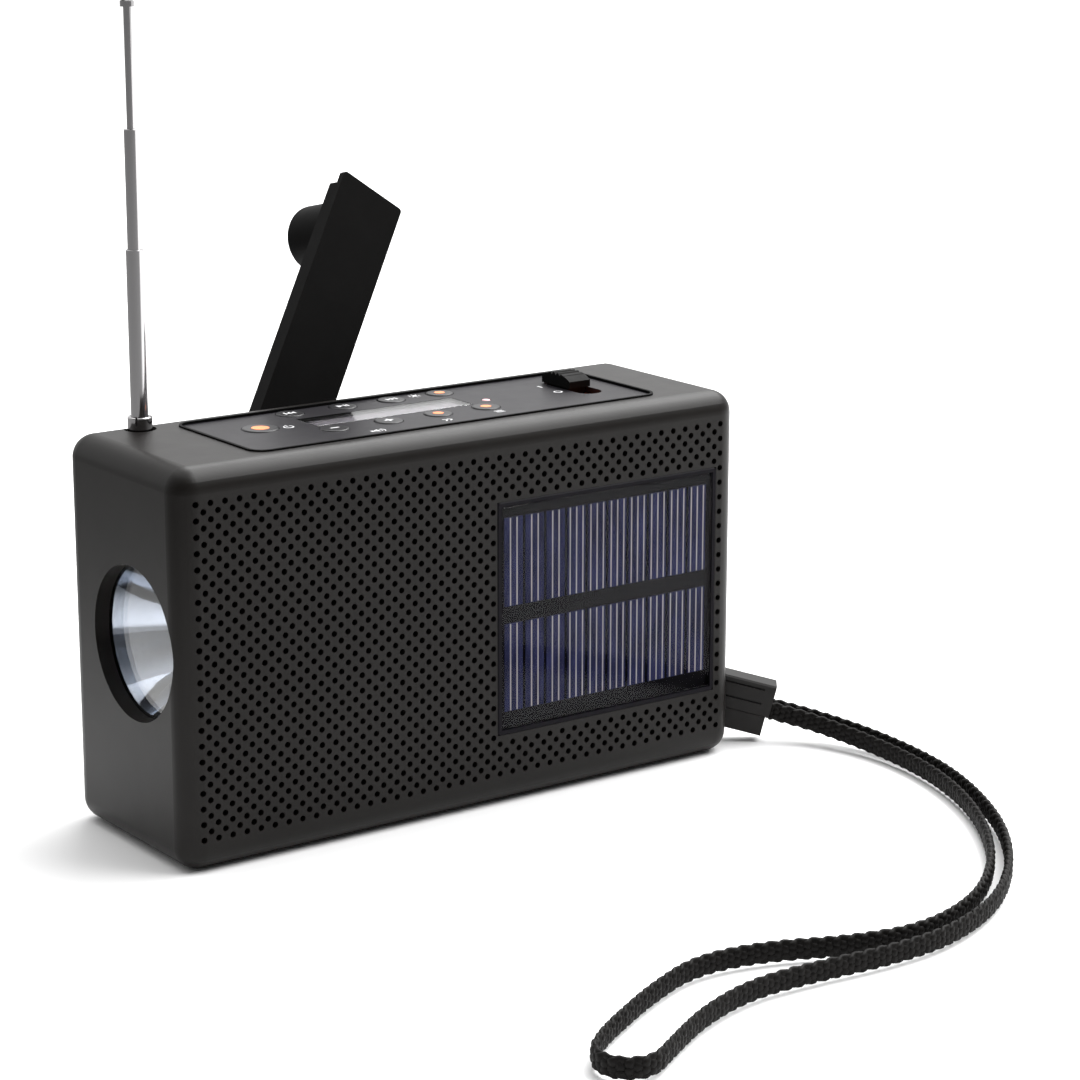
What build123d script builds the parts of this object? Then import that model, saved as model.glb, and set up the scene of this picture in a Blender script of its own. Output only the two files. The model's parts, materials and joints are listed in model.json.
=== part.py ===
from build123d import *
import os
from math import atan2, cos, pi, radians, sin, sqrt, tan

# Emergency radio with a hand crank, solar panel, flashlight, telescopic antenna and wrist strap.
# Millimetres. Origin at the middle of the case's bottom face, +Z up, the front faces -Y,
# the flashlight end is at -X and the strap end is at +X.

# --- case ---
case_width = 150.0
case_depth = 50.0
case_height = 88.3
edge_round = 5.2
wall = 2.2
fit_gap = 0.15
running_gap = 0.05
seat_gap = 0.3
front_y = -case_depth / 2
back_y = case_depth / 2
left_x = -case_width / 2
right_x = case_width / 2
inner_top = case_height - wall

# --- front grille: round holes on a diagonal lattice ---
hole_step = 1.75
hole_radius = 0.7
grille_side_margin = 4.47
grille_top_margin = 7.27
grille_bottom_margin = 7.2
grille_border = 2.7

# --- solar panel in the front ---
solar_left = 5.8
solar_wide = 62.6
solar_low = 16.5
solar_tall = 54.35
solar_rim_wide = 1.0
solar_rim_proud = 0.2
solar_board_thick = 1.2
cell_thick = 0.3
cover_glass_thick = 0.9
tray_thick = 1.2
cell_columns = 10
cell_rows = 2
cell_pitch = 5.85
cell_wide = 5.0
cell_band = 4.1
cell_top_margin = 4.0
cell_low_margin = 5.2

# --- top control panel ---
panel_left = -51.8
panel_right = 57.0
panel_half_deep = 18.0
panel_corner = 4.0
panel_thick = 1.5
panel_sink = 0.25
panel_ledge = 3.0
panel_gap = 0.25
board_thick = 1.2
board_drop = 4.2
main_board_thick = 1.6
post_radius = 1.8

# --- push buttons ---
button_radius = 3.3
power_button_radius = 4.2
button_flange = 0.6
button_flange_thick = 0.8
button_proud = 0.25
button_travel = 0.5
button_slack = 0.1
dome_switch_tall = 2.5
front_row_y = -5.5
back_row_y = 13.7

# --- display and status light ---
display_left = -26.0
display_right = 16.0
display_front = -1.0
display_back = 8.0
display_thick = 1.1
display_lip = 1.0
status_x = 21.2
status_y = 1.3
status_radius = 1.0

# --- power slide switch ---
switch_x = 46.5
slot_front = -7.25
slot_back = 11.25
slot_wide = 6.4
knob_long = 11.0
knob_wide = 6.0
knob_tall = 3.4
knob_ridges = 7
switch_travel = 6.0
slider_thick = 1.2
slider_wide = 9.2

# --- flashlight in the left end ---
torch_radius = 17.2
torch_y = front_y + torch_radius + 3.8
torch_z = 47.0
torch_recess = 3.5
lens_radius = torch_radius + 0.7
lens_thick = 1.4
reflector_deep = 17.0
reflector_skin = 0.9
reflector_neck = 3.2
barrel_wall = 1.6
led_board_radius = 9.0

# --- loudspeaker behind the grille ---
speaker_x = -22.0
speaker_z = 44.0
speaker_radius = 25.0
speaker_deep = 16.4
magnet_radius = 14.0
magnet_deep = 6.0
cloth_thick = 0.4

# --- telescopic antenna ---
antenna_x = -59.6
antenna_y = 18.3
tube_1_radius = 1.95
tube_2_radius = 1.55
rod_radius = 0.85
tube_1_wall = tube_1_radius - tube_2_radius - running_gap
tube_2_wall = 0.3
tube_1_shown = 39.7
tube_2_shown = 26.0
rod_shown = 26.0
tube_1_long = 80.0
tube_1_top = case_height + tube_1_shown
tube_2_long = 76.0
rod_long = 73.0
tip_radius = 2.85
tip_tall = 4.0
bushing_wall = 0.75
bushing_proud = 2.9
bushing_flange = 4.4
tube_foot_radius = 2.7
tube_foot_gap = 0.05
dish_radius = 3.6
dish_deep = 0.8

# --- crank ---
hub_x = -28.3
hub_z = 62.0
hinge_y = 23.9
crank_angle = 34.0
arm_lean = 15.0
arm_long = 86.8
arm_wide = 19.2
arm_thick = 4.2
arm_heel = 3.2
lip_long = 3.0
lip_thick = 1.6
fork_gap = 8.0
fork_deep = 4.6
lug_wide = 7.6
lug_radius = 3.0
hinge_pin_radius = 1.2
hub_radius = 9.0
hub_thick = 2.0
hub_shaft_radius = 3.0
hub_to_hinge = 6.3
knob_reach = arm_long - 11.2
knob_radius = 8.0
knob_seat_radius = 4.6
knob_deep = 14.0
knob_pin_radius = 1.5
knob_head_radius = 2.6
well_radius = 17.0
channel_gap = 0.7
pocket_gap = 1.0
pocket_swing = 1.3
finger_scoop = 7.0
skin = 2.0

# --- gear train ---
gear_module = 0.7
crank_teeth = 48
small_teeth = 14
fine_module = 0.5
large_teeth = 40
pinion_teeth = 12
first_mesh_angle = -35.0
second_mesh_angle = 10.0
gear_plate_y = 5.0
gear_plate_thick = 1.6
gear_plate_low = (-53.0, 36.0)
gear_plate_high = (18.0, 79.0)
gear_plate_notch = (-34.0, 55.0)
pillar_radius = 2.2
gear_pillars = [(-49.0, 70.0), (-8.0, 76.0), (14.0, 74.0), (-28.3, 39.0)]
generator_radius = 11.0
generator_deep = 9.0
gear_pin_radius = 1.5

# --- battery, boards and sockets ---
cell_radius = 9.2
battery_long = 65.0
battery_x = 12.5
battery_y = 8.0
battery_z = 13.0
main_board_y = -14.0
main_board_left = 8.0
main_board_low = 24.0
main_board_tall = 52.0
usb_z = 62.0
jack_z = 44.0
jack_radius = 1.8
jack_nose = 3.0
jack_deep = 13.0
jack_y = main_board_y + main_board_thick + jack_nose + 0.3
usb_y = main_board_y + main_board_thick + 1.65

# --- screws of the rear cover ---
screw_x = 65.5
screw_low = 10.0
screw_high = 74.0
screw_radius = 1.2
screw_head = 2.5
screw_long = 9.0
boss_radius = 3.4
boss_front = 6.0

# --- strap clip and wrist strap ---
clip_y = -12.0
clip_z = 11.8
clip_heading = -38.7
clip_droop = 13.8
clip_long = 17.6
clip_tall = 13.1
clip_thick = 6.4
clip_foot_tall = 4.8
clip_foot_thick = 5.4
clip_groove = 0.5
strap_wide = 5.2
strap_thick = 2.2
strap_spacing = 3.2
neck_wide = 6.0
neck_tall = 9.6
strap_pin_radius = 1.5
strap_pin_x = right_x - 5.5
neck_root = right_x - 8.4

# The strap lies on the floor, standing on its edge, from the clip out to the loop's end and back.
strap_height = strap_wide / 2 + 0.05
strap_out = [
    (98.4, -43.0, 3.5),
    (99.0, -57.8, strap_height),
    (95.7, -74.2, strap_height),
    (88.6, -91.8, strap_height),
    (78.2, -108.6, strap_height),
    (64.4, -124.8, strap_height),
    (46.7, -138.2, strap_height),
    (26.5, -144.6, strap_height),
    (9.5, -141.2, strap_height),
    (-6.0, -133.6, strap_height),
    (-22.0, -131.2, strap_height),
    (-37.0, -137.2, strap_height),
    (-48.5, -143.3, strap_height),
    (-58.5, -149.1, strap_height),
    (-65.0, -154.8, strap_height),
    (-64.1, -161.5, strap_height),
    (-57.9, -164.4, strap_height),
    (-49.4, -159.1, strap_height),
    (-36.0, -151.5, strap_height),
    (-20.0, -146.6, strap_height),
    (-3.0, -147.6, strap_height),
    (12.0, -149.4, strap_height),
    (29.0, -149.0, strap_height),
    (49.0, -141.6, strap_height),
    (67.0, -127.6, strap_height),
    (81.4, -110.8, strap_height),
    (91.8, -93.2, strap_height),
    (99.2, -75.2, strap_height),
    (102.6, -58.2, strap_height),
    (102.0, -42.4, 3.5),
]
strap_first_run = 8.5
strap_last_run = 10.0


def block(low, high):
    """A box between two opposite corners."""
    size = [b - a for a, b in zip(low, high)]
    middle = [(a + b) / 2 for a, b in zip(low, high)]
    return Pos(*middle) * Box(*size)


def rod_x(radius, x0, x1, y, z):
    return Pos((x0 + x1) / 2, y, z) * Rot(0, 90, 0) * Cylinder(radius, x1 - x0)


def rod_y(radius, y0, y1, x, z):
    return Pos(x, (y0 + y1) / 2, z) * Rot(90, 0, 0) * Cylinder(radius, y1 - y0)


def rod_z(radius, z0, z1, x, y):
    return Pos(x, y, (z0 + z1) / 2) * Cylinder(radius, z1 - z0)


def turned_y(profile, x, z):
    """Revolves points (radius, y) about a line along Y."""
    face = make_face(Polyline(*[(r, y) for r, y in profile], close=True))
    return Pos(x, 0, z) * revolve(face, Axis.Y)


def outer_block():
    whole = block((left_x, front_y, 0), (right_x, back_y, case_height))
    return fillet(whole.edges(), edge_round)


# --- housing ---
grille_low = (left_x + grille_border, front_y, grille_border)
grille_high = (right_x - grille_border, front_y + wall, case_height - grille_border)
cover_half = case_width / 2 - edge_round
cover_low = edge_round
cover_high = case_height - edge_round
cover_inner = back_y - wall
panel_top = case_height - panel_sink
panel_low = panel_top - panel_thick
panel_mid = (panel_left + panel_right) / 2
board_top = panel_low - board_drop
screw_places = [(x, z) for x in (-screw_x, screw_x) for z in (screw_low, screw_high)]


def screw_boss(x, z):
    side = right_x - wall / 2 if x > 0 else left_x + wall / 2
    web = block(
        (min(x, side), boss_front, z - wall / 2),
        (max(x, side), cover_inner, z + wall / 2),
    )
    boss = rod_y(boss_radius, boss_front, cover_inner, x, z) + web
    return boss - rod_y(screw_radius, back_y - screw_long - wall, back_y, x, z)


def front_case():
    cavity = block(
        (left_x + wall, front_y + wall, wall), (right_x - wall, cover_inner, inner_top)
    )
    tub = outer_block() - cavity
    tub -= block(grille_low, grille_high)
    tub -= block(
        (-cover_half, cover_inner - 1, cover_low), (cover_half, back_y + 1, cover_high)
    )
    tub += [screw_boss(x, z) for x, z in screw_places]
    # torch barrel, cut back where the grille passes in front of it
    lens_x = left_x + torch_recess
    barrel = rod_x(
        lens_radius + barrel_wall,
        left_x + wall / 2,
        lens_x + reflector_deep,
        torch_y,
        torch_z,
    )
    barrel -= block(
        (left_x - 1, front_y - 1, 0), (0, front_y + wall + cloth_thick, case_height)
    )
    tub += barrel
    tub -= rod_x(
        lens_radius + fit_gap / 2, lens_x, lens_x + reflector_deep + 1, torch_y, torch_z
    )
    tub -= rod_x(torch_radius, left_x - 1, lens_x + 1, torch_y, torch_z)
    # room for the antenna's first tube where it passes the barrel
    tub -= rod_z(
        tube_foot_radius + tube_foot_gap,
        tube_1_top - tube_1_long - tube_foot_gap,
        inner_top,
        antenna_x,
        antenna_y,
    )
    # panel seat: a pocket with a ledge at each end
    tub -= (
        Pos(panel_mid, 0, panel_low)
        * extrude(
            RectangleRounded(
                panel_right - panel_left, 2 * panel_half_deep, panel_corner
            ),
            wall + 1,
        )
    )
    tub -= block(
        (panel_left + panel_ledge, -panel_half_deep, inner_top - 1),
        (panel_right - panel_ledge, panel_half_deep, case_height),
    )
    # antenna hole with a round dish
    tub -= rod_z(
        tube_1_radius + running_gap + bushing_wall,
        inner_top - 1,
        case_height + 1,
        antenna_x,
        antenna_y,
    )
    tub -= rod_z(
        dish_radius, case_height - dish_deep, case_height + 1, antenna_x, antenna_y
    )
    # strap slot, with two lugs that hold its pin
    for z in (clip_z - neck_tall / 2 - 2.4, clip_z + neck_tall / 2 + 0.4):
        low = (neck_root - 0.1, clip_y - 4, z)
        tub += block(low, (right_x - wall / 2, clip_y + 4, z + 2))
    tub -= block(
        (right_x - wall - 1, clip_y - neck_wide / 2 - 0.4, clip_z - neck_tall / 2 - 0.3),
        (right_x + 1, clip_y + neck_wide / 2 + 0.4, clip_z + neck_tall / 2 + 0.3),
    )
    tub -= rod_z(strap_pin_radius, wall + 1, 20, strap_pin_x, clip_y)
    # sockets in the right end
    tub -= usb_outline(fit_gap, right_x - wall - 1, right_x + 1)
    tub -= rod_x(
        jack_nose + fit_gap, right_x - wall - 1, right_x + 1, jack_y, jack_z
    )
    return tub


def lattice_points():
    """Centres of the grille's holes, clear of the solar panel's window."""
    columns = int((case_width - 2 * grille_side_margin) / hole_step + 1e-6) + 1
    rows = int(
        (case_height - grille_top_margin - grille_bottom_margin) / hole_step + 1e-6
    ) + 1
    keep = hole_radius + fit_gap
    points = []
    for i in range(columns):
        for j in range(i % 2, rows, 2):
            x = left_x + grille_side_margin + i * hole_step
            z = case_height - grille_top_margin - j * hole_step
            beside = x < solar_left - keep or x > solar_left + solar_wide + keep
            apart = z < solar_low - keep or z > solar_low + solar_tall + keep
            if beside or apart:
                points.append((x, z))
    return points


def front_grille():
    holes = [
        Wire.make_circle(hole_radius, Plane(origin=(x, front_y - 1, z), z_dir=(0, 1, 0)))
        for x, z in lattice_points()
    ]
    window = Wire.make_rect(
        solar_wide,
        solar_tall,
        Plane(
            origin=(solar_left + solar_wide / 2, front_y - 1, solar_low + solar_tall / 2),
            x_dir=(1, 0, 0),
            z_dir=(0, 1, 0),
        ),
    )
    border = Wire.make_rect(
        grille_high[0] - grille_low[0],
        grille_high[2] - grille_low[2],
        Plane(
            origin=(0, front_y - 1, case_height / 2), x_dir=(1, 0, 0), z_dir=(0, 1, 0)
        ),
    )
    sheet = Face(border, [window, *holes])
    plate = extrude(sheet, amount=wall + 1, dir=(0, 1, 0))
    return plate & outer_block()


hub_disc_y = hinge_y - hub_to_hinge
well_floor = hub_disc_y - seat_gap
channel_floor = hinge_y - arm_thick / 2 - 0.6
pocket_floor = hinge_y - arm_thick / 2 - knob_deep - 0.8
channel_half = arm_wide / 2 + channel_gap
channel_end = hub_x + arm_long + 1.0
knob_stow_x = hub_x + knob_reach


def stow_space(grow, floor_drop):
    """The space that the folded crank lies in, grown by a skin for the cover's bulge."""
    well = rod_y(well_radius + grow, well_floor - floor_drop, back_y + 1, hub_x, hub_z)
    channel = block(
        (hub_x, channel_floor - floor_drop, hub_z - channel_half - grow),
        (channel_end + grow, back_y + 1, hub_z + channel_half + grow),
    )
    scoop = rod_y(
        finger_scoop + grow, channel_floor - floor_drop, back_y + 1, channel_end, hub_z
    )
    near = rod_y(
        knob_radius + pocket_gap + grow,
        pocket_floor - floor_drop,
        back_y + 1,
        knob_stow_x,
        hub_z,
    )
    far = Pos(pocket_swing, 0, 0) * near
    return well + channel + scoop + near + far


def rear_cover():
    plate = block(
        (-cover_half + fit_gap, cover_inner, cover_low + fit_gap),
        (cover_half - fit_gap, back_y, cover_high - fit_gap),
    )
    bulge = stow_space(skin, skin) & block(
        (left_x, front_y, 0), (right_x, back_y, case_height)
    )
    cover = plate + bulge - stow_space(0, 0)
    for x, z in gear_pillars:
        cover += rod_y(pillar_radius, gear_plate_y + gear_plate_thick, cover_inner, x, z)
    cover -= stow_space(0, 0)
    cover -= rod_y(hub_shaft_radius + running_gap, 0, back_y, hub_x, hub_z)
    cover -= rod_y(gear_pin_radius, 0, well_floor - 0.8, double_x, double_z)
    for x, z in screw_places:
        cover -= rod_y(screw_radius + fit_gap, cover_inner - 1, back_y + 1, x, z)
        cover -= rod_y(screw_head + fit_gap, back_y - 1.3, back_y + 1, x, z)
    return cover


def cover_screws():
    screws = []
    for x, z in screw_places:
        shank = rod_y(screw_radius, back_y - screw_long - 1.3, back_y - 1.2, x, z)
        head = rod_y(screw_head, back_y - 1.3, back_y - 0.1, x, z)
        cross = block((x - 1.5, back_y - 0.8, z - 0.25), (x + 1.5, back_y, z + 0.25))
        cross += block((x - 0.25, back_y - 0.8, z - 1.5), (x + 0.25, back_y, z + 1.5))
        screws.append(shank + head - cross)
    return Compound(children=screws)


# --- loudspeaker ---
cloth_back = front_y + wall + cloth_thick
speaker_front = cloth_back + 0.2
speaker_back = speaker_front + speaker_deep
cone_dome = speaker_front + 5.0
cone_skin = 0.6


def speaker_cloth():
    reach = speaker_radius + 1.5
    return block(
        (speaker_x - reach, front_y + wall, speaker_z - reach),
        (speaker_x + reach, cloth_back, speaker_z + reach),
    )


def speaker_frame():
    front = speaker_front
    profile = [
        (speaker_radius - 3.5, front),
        (speaker_radius, front),
        (speaker_radius, front + 1.2),
        (speaker_radius - 1.5, front + 1.2),
        (speaker_radius - 2.0, front + 3.0),
        (magnet_radius - 2.0, speaker_back - magnet_deep),
        (magnet_radius - 5.0, speaker_back - magnet_deep),
        (magnet_radius - 5.0, speaker_back - magnet_deep - 1.0),
        (magnet_radius - 3.0, speaker_back - magnet_deep - 1.0),
        (speaker_radius - 3.5, front + 3.0),
    ]
    return turned_y(profile, speaker_x, speaker_z)


def speaker_cone():
    outer = speaker_radius - 3.7
    inner = magnet_radius - 7.0
    profile = [
        (0, cone_dome),
        (inner, cone_dome),
        (outer - 2.5, speaker_front + 1.0),
        (outer - 1.2, speaker_front + 0.3),
        (outer, speaker_front + 1.0),
        (outer, speaker_front + 1.6),
        (outer - 2.5, speaker_front + 1.6),
        (inner, cone_dome + cone_skin),
        (0, cone_dome + cone_skin),
    ]
    return turned_y(profile, speaker_x, speaker_z)


def speaker_magnet():
    y0 = speaker_back - magnet_deep
    magnet = rod_y(magnet_radius, y0, speaker_back - 1.0, speaker_x, speaker_z)
    plate = rod_y(magnet_radius - 1.5, speaker_back - 1.2, speaker_back, speaker_x, speaker_z)
    return magnet + plate


# --- solar panel ---
solar_right = solar_left + solar_wide
solar_high = solar_low + solar_tall
board_front = front_y + cover_glass_thick + cell_thick - solar_rim_proud
glass_inset = solar_rim_wide + 0.1


def solar_tray():
    grow = 1.2
    tray = block(
        (solar_left - grow, front_y + wall, solar_low - grow),
        (solar_right + grow, front_y + wall + tray_thick, solar_high + grow),
    )
    lead = rod_y(1.5, front_y, 0, solar_left + 8, solar_low + 4)
    return tray - lead


def solar_rim():
    outer = block(
        (solar_left + 0.05, front_y - solar_rim_proud, solar_low + 0.05),
        (solar_right - 0.05, front_y + wall, solar_high - 0.05),
    )
    outer = fillet(outer.edges().filter_by(Axis.Y), 0.8)
    outer = chamfer(outer.faces().sort_by(Axis.Y)[0].edges(), 0.25)
    inner = block(
        (solar_left + glass_inset, front_y - 1, solar_low + glass_inset),
        (solar_right - glass_inset, 0, solar_high - glass_inset),
    )
    return outer - inner


def solar_board():
    return block(
        (solar_left + glass_inset, board_front, solar_low + glass_inset),
        (solar_right - glass_inset, front_y + wall, solar_high - glass_inset),
    )


def cell_boxes():
    """Low and high corner of each cell: two rows of narrow strips."""
    first = solar_left + (solar_wide - (cell_columns - 1) * cell_pitch) / 2
    low = solar_low + cell_low_margin
    high = solar_high - cell_top_margin
    tall = (high - low - cell_band) / cell_rows
    boxes = []
    for row in range(cell_rows):
        z = low + row * (tall + cell_band)
        for column in range(cell_columns):
            x = first + column * cell_pitch - cell_wide / 2
            boxes.append(
                (
                    (x, board_front - cell_thick, z),
                    (x + cell_wide, board_front, z + tall),
                )
            )
    return boxes


def solar_cells():
    return Compound(children=[block(low, high) for low, high in cell_boxes()])


def solar_cover():
    front = board_front - cell_thick - cover_glass_thick
    glass = block(
        (solar_left + glass_inset + 0.02, front, solar_low + glass_inset + 0.02),
        (
            solar_right - glass_inset - 0.02,
            board_front - cell_thick,
            solar_high - glass_inset - 0.02,
        ),
    )
    glass = fillet(glass.edges().filter_by(Axis.Y), 1.0)
    return fillet(glass.faces().sort_by(Axis.Y)[0].edges(), 0.6)


# --- control panel and what it holds ---
buttons = {
    "power_button": (-37.6, 3.9, power_button_radius),
    "minus_button": (-24.2, front_row_y, button_radius),
    "plus_button": (-10.0, front_row_y, button_radius),
    "scan_button": (3.3, front_row_y, button_radius),
    "mode_button": (16.4, front_row_y, button_radius),
    "previous_button": (-24.0, back_row_y, button_radius),
    "play_button": (-10.0, back_row_y, button_radius),
    "next_button": (3.2, back_row_y, button_radius),
    "light_button": (16.6, back_row_y, button_radius),
}
panel_posts = [(x, y) for x in (-46.5, 34.0) for y in (-11.5, 11.5)]


def control_panel():
    wide = panel_right - panel_left - 2 * panel_gap
    deep = 2 * (panel_half_deep - panel_gap)
    plate = Pos(panel_mid, 0, panel_low) * extrude(
        RectangleRounded(wide, deep, panel_corner - panel_gap), panel_thick
    )
    plate = chamfer(plate.faces().sort_by(Axis.Z)[-1].edges(), 0.3)
    for x, y in panel_posts:
        plate += rod_z(post_radius, board_top, panel_low + 0.1, x, y)
    for x, y, radius in buttons.values():
        plate -= rod_z(radius + 0.1, panel_low - 1, panel_top + 1, x, y)
    plate -= block(
        (display_left - 0.05, display_front - 0.05, panel_top - display_thick),
        (display_right + 0.05, display_back + 0.05, panel_top + 1),
    )
    plate -= block(
        (display_left + display_lip, display_front + display_lip, panel_low - 1),
        (display_right - display_lip, display_back - display_lip, panel_top),
    )
    plate -= rod_z(status_radius + fit_gap, panel_low - 1, panel_top + 1, status_x, status_y)
    slot = SlotOverall(slot_back - slot_front, slot_wide, rotation=90)
    plate -= Pos(switch_x, (slot_front + slot_back) / 2, panel_low - 1) * extrude(slot, 4)
    return plate


def button(name):
    x, y, radius = buttons[name]
    low = board_top + dome_switch_tall + button_travel + button_slack
    cap = rod_z(radius, panel_low - button_slack - 0.4, panel_top + button_proud, x, y)
    cap = fillet(cap.faces().sort_by(Axis.Z)[-1].edges(), 0.45)
    flange_top = panel_low - button_slack
    flange = rod_z(
        radius + button_flange, flange_top - button_flange_thick, flange_top, x, y
    )
    stem = rod_z(1.4, low, flange_top - button_flange_thick + 0.1, x, y)
    return cap + flange + stem


def display_window():
    pane = block(
        (display_left, display_front, panel_top - display_thick),
        (display_right, display_back, panel_top),
    )
    return fillet(pane.faces().sort_by(Axis.Z)[-1].edges(), 0.2)


def display_module():
    return block(
        (display_left - 0.8, display_front - 0.2, board_top),
        (display_right + 0.8, display_back + 0.2, panel_low - 0.2),
    )


def status_light():
    lamp = rod_z(status_radius, board_top, panel_top + 0.1, status_x, status_y)
    lamp = fillet(lamp.faces().sort_by(Axis.Z)[-1].edges(), 0.3)
    return lamp + rod_z(status_radius + 0.5, board_top, board_top + 1.5, status_x, status_y)


knob_back = slot_back - 1.1
knob_mid = knob_back - knob_long / 2
slider_top = panel_low - seat_gap
peg_low = board_top + 1.2


def power_knob():
    """A thumb piece with an arched top and ridges across it."""
    arch = ThreePointArc(
        (knob_back - knob_long, panel_top + 1.9),
        (knob_mid, panel_top + knob_tall),
        (knob_back, panel_top + 1.9),
    )
    sides = Polyline(
        (knob_back, panel_top + 1.9),
        (knob_back, panel_top + seat_gap),
        (knob_back - knob_long, panel_top + seat_gap),
        (knob_back - knob_long, panel_top + 1.9),
    )
    side_face = Plane.YZ * make_face(arch + sides)
    body = Pos(switch_x - knob_wide / 2, 0, 0) * extrude(side_face, knob_wide, dir=(1, 0, 0))
    step = knob_long / knob_ridges
    for k in range(knob_ridges):
        y = knob_back - (k + 0.5) * step
        groove = Pos(switch_x, y, panel_top + knob_tall) * Rot(45, 0, 0) * Box(
            knob_wide + 1, 0.9, 0.9
        )
        body -= groove
    # the waist passes through the slot down to the slider
    waist = block(
        (switch_x - 2.4, knob_mid - 4.2, slider_top),
        (switch_x + 2.4, knob_mid + 4.2, panel_top + 0.5),
    )
    return body + waist


def power_slider():
    back = knob_back + switch_travel + 0.9
    front = slot_front - 0.4
    plate = block(
        (switch_x - slider_wide / 2, front, slider_top - slider_thick),
        (switch_x + slider_wide / 2, back, slider_top),
    )
    peg = block(
        (switch_x - 1, knob_mid - 1, peg_low),
        (switch_x + 1, knob_mid + 1, slider_top - slider_thick + 0.1),
    )
    return plate + peg


def slide_switch():
    low = knob_mid - switch_travel - 3
    high = knob_mid + 3
    body = block((switch_x - 4, low, board_top), (switch_x + 4, high, board_top + 2.4))
    groove = block(
        (switch_x - 1.3, low + 1.4, peg_low - 0.3), (switch_x + 1.3, high - 1.4, board_top + 3)
    )
    return body - groove


def keypad_board():
    return block(
        (panel_left + 4, -panel_half_deep + 4, board_top - board_thick),
        (panel_right - 4, panel_half_deep - 0.5, board_top),
    )


def keypad_switches():
    switches = []
    for x, y, _ in buttons.values():
        case = block((x - 2.2, y - 2.2, board_top), (x + 2.2, y + 2.2, board_top + 1.7))
        switches.append(case + rod_z(1.5, board_top, board_top + dome_switch_tall, x, y))
    return Compound(children=switches)


# --- flashlight ---
lens_face = left_x + torch_recess
reflector_mouth = lens_face + lens_thick


def flashlight_lens():
    return rod_x(lens_radius, lens_face, reflector_mouth, torch_y, torch_z)


def bowl_radius(depth):
    """Radius of the parabolic bowl at a depth behind its mouth."""
    mouth = lens_radius - 1.2
    share = 1 - depth / reflector_deep
    return sqrt(reflector_neck**2 + (mouth**2 - reflector_neck**2) * share)


def flashlight_reflector():
    steps = 8
    depths = [reflector_deep * (k / steps) for k in range(steps + 1)]
    inner = [(bowl_radius(d), d) for d in depths]
    outer = [(bowl_radius(d) + reflector_skin, d) for d in depths]
    mouth_edge = Line(inner[0], (lens_radius, 0))
    rim = Polyline((lens_radius, 0), (lens_radius, 1.6), (outer[1][0], 1.6), outer[1])
    outline = [
        Spline(*inner),
        mouth_edge,
        rim,
        Spline(*outer[1:]),
        Line(outer[-1], inner[-1]),
    ]
    bowl = revolve(make_face(outline), Axis.Y)
    return Pos(reflector_mouth, torch_y, torch_z) * Rot(0, 0, -90) * bowl


led_seat = reflector_mouth + reflector_deep


def flashlight_board():
    return rod_x(led_board_radius, led_seat, led_seat + 1.4, torch_y, torch_z)


def flashlight_led():
    base = rod_x(reflector_neck - 0.4, led_seat - 1.0, led_seat, torch_y, torch_z)
    dome = Pos(led_seat - 1.0, torch_y, torch_z) * Sphere(2.0)
    return base + (
        dome & block((left_x, -case_depth, 0), (led_seat - 0.5, case_depth, case_height))
    )


# --- antenna ---
tube_2_top = tube_1_top + tube_2_shown
rod_top = tube_2_top + rod_shown


def antenna_bushing():
    bore = tube_1_radius + running_gap
    outer = bore + bushing_wall
    top = case_height + bushing_proud
    sleeve = rod_z(outer, inner_top - 6, top, antenna_x, antenna_y)
    sleeve = fillet(sleeve.faces().sort_by(Axis.Z)[-1].edges(), 0.35)
    sleeve += rod_z(bushing_flange, inner_top - 2, inner_top, antenna_x, antenna_y)
    sleeve -= rod_z(bore, 0, top + 1, antenna_x, antenna_y)
    for angle in (45, 135):
        slit = Pos(antenna_x, antenna_y, top) * Rot(0, 0, angle) * Box(4 * outer, 0.5, 3.6)
        sleeve -= slit
    return sleeve


def antenna_bracket():
    bore = tube_1_radius + running_gap + bushing_wall
    ring = rod_z(bushing_flange, board_top, inner_top - 2, antenna_x, antenna_y)
    tail = block(
        (antenna_x, antenna_y - bushing_flange, board_top),
        (panel_left + 6, antenna_y - 1.5, inner_top - 2),
    )
    return ring + tail - rod_z(bore, 0, case_height, antenna_x, antenna_y)


def antenna_tube_1():
    low = tube_1_top - tube_1_long
    tube = rod_z(tube_1_radius, low, tube_1_top, antenna_x, antenna_y)
    tube = fillet(tube.faces().sort_by(Axis.Z)[-1].edges(), 0.15)
    tube += rod_z(tube_foot_radius, low, low + 1.5, antenna_x, antenna_y)
    return tube - rod_z(tube_2_radius + running_gap, 0, 200, antenna_x, antenna_y)


def antenna_tube_2():
    low = tube_2_top - tube_2_long
    tube = rod_z(tube_2_radius, low, tube_2_top, antenna_x, antenna_y)
    tube = fillet(tube.faces().sort_by(Axis.Z)[-1].edges(), 0.12)
    tube -= rod_z(tube_2_radius - tube_2_wall, 0, tube_2_top - 3, antenna_x, antenna_y)
    return tube - rod_z(rod_radius + running_gap, 0, 200, antenna_x, antenna_y)


def antenna_rod():
    low = rod_top - rod_long
    slug = tube_2_radius - tube_2_wall - running_gap
    rod = rod_z(rod_radius, low, rod_top, antenna_x, antenna_y)
    return rod + rod_z(slug, low, low + 3, antenna_x, antenna_y)


def antenna_tip():
    """A small mushroom knob: a narrow neck, a flared head and a shallow crown."""
    profile = [
        (0, 0),
        (1.5, 0),
        (1.5, 1.2),
        (tip_radius, 1.8),
        (tip_radius, 3.1),
        (tip_radius - 0.9, tip_tall),
        (0, tip_tall),
    ]
    face = make_face(Polyline(*profile, close=True))
    tip = revolve(Plane.XZ * face, Axis.Z)
    return Pos(antenna_x, antenna_y, rod_top) * tip


# --- crank: made upright with the hinge at the origin, then leaned and turned ---
def place_on_hub(shape):
    return Pos(hub_x, hinge_y, hub_z) * shape.rotate(Axis.Y, crank_angle)


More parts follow.
